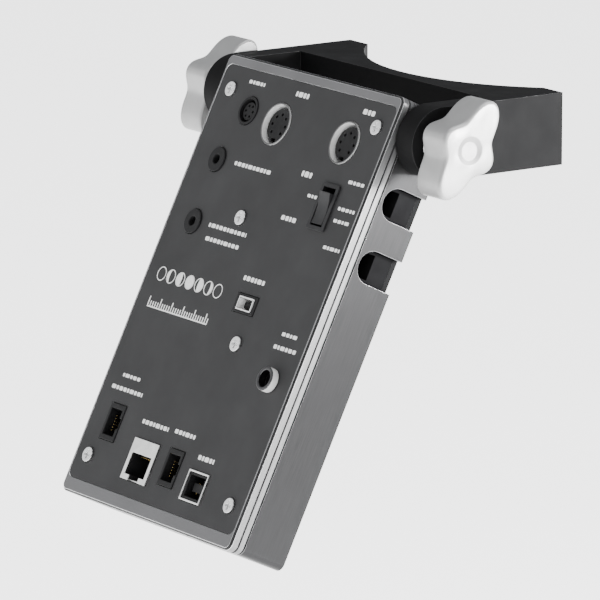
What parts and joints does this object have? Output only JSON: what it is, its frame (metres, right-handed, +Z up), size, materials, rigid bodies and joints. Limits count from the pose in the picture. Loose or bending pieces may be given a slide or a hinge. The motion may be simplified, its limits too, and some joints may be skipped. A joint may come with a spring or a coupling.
{
  "type": "telescope control box",
  "caption": "Flat control box with plug sockets for a telescope drive, tilting in a yoke bracket and clamped by lobed knobs.",
  "frame": {"origin": "on the bracket's hollow rear seat, midway between its two fixing holes", "axes": "+X to the right along the tilt axis, +Y backward into the mount, +Z up; the panel faces -Y and leans back 26 degrees"},
  "size_m": [0.1648, 0.1346, 0.1646],
  "materials": {
    "black_anodised": "matte black anodised",
    "side_anodised": "brushed and dark anodised",
    "panel_sheet": "fine matte",
    "knob_metal": "satin cast",
    "steel": "plated",
    "block_metal": "plain machined",
    "socket_metal": "nickel plated",
    "black_plastic": "matte",
    "switch_plastic": "satin",
    "nylon": "smooth",
    "brass": "turned",
    "board": "solder mask",
    "chip": "moulded",
    "can": "sleeved"
  },
  "bodies": {
    "bracket": {"yoke": "black_anodised"},
    "box": {"pivot_washer_left": "nylon", "pivot_washer_right": "nylon", "front_plate": "black_anodised", "label_sheet": "panel_sheet", "spacer_frame": "side_anodised", "side_frame": "side_anodised", "rear_cover": "black_anodised", "pivot_block_left": "block_metal", "pivot_block_right": "block_metal", "lower_blocks": "block_metal", "corner_screws": "steel", "panel_screws": "steel", "panel_standoffs": "brass", "rear_screws": "steel", "circuit_board": "board", "board_posts": "brass", "board_screws": "steel", "controller_chip": "chip", "heat_spreader": "block_metal", "driver_chips": "chip", "capacitors": "can", "battery_holder": "black_plastic", "clock_battery": "steel", "card_holder": "socket_metal", "memory_card": "chip", "din_shell_left": "socket_metal", "din_shell_right": "socket_metal", "din_insert_left": "black_plastic", "din_insert_right": "black_plastic", "guide_socket": "black_plastic", "jack_upper": "black_plastic", "jack_lower": "black_plastic", "power_jack": "black_plastic", "power_bushing": "socket_metal", "network_shield": "socket_metal", "network_insert": "black_plastic", "usb_shield": "socket_metal", "usb_insert": "black_plastic", "mini_port_shell": "socket_metal", "mini_port_frame": "black_plastic", "phone_socket_left": "black_plastic", "phone_socket_centre": "black_plastic", "side_socket_upper": "black_plastic", "side_socket_lower": "black_plastic", "switch_body": "switch_plastic", "rocker_pin": "steel"},
    "knob_left": {"knob_left": "knob_metal", "knob_stud_left": "steel", "knob_washer_left": "steel"},
    "knob_right": {"knob_right": "knob_metal", "knob_stud_right": "steel", "knob_washer_right": "steel"},
    "rocker": {"rocker": "switch_plastic"}
  },
  "joints": [
    {"name": "box_tilt", "type": "hinge", "parent": "bracket", "child": "box", "pos_m": [0, -0.029, 0], "axis": [-1, 0, 0], "range_deg": [-26, 94]},
    {"name": "knob_left_turn", "type": "hinge", "parent": "bracket", "child": "knob_left", "pos_m": [-0.075, -0.029, 0], "axis": [1, 0, 0], "continuous": true},
    {"name": "knob_right_turn", "type": "hinge", "parent": "bracket", "child": "knob_right", "pos_m": [0.075, -0.029, 0], "axis": [1, 0, 0], "continuous": true},
    {"name": "power_rocker", "type": "hinge", "parent": "box", "child": "rocker", "pos_m": [0.034, -0.05401, -0.02619], "axis": [-1, 0, 0], "range_deg": [0, 16]}
  ]
}
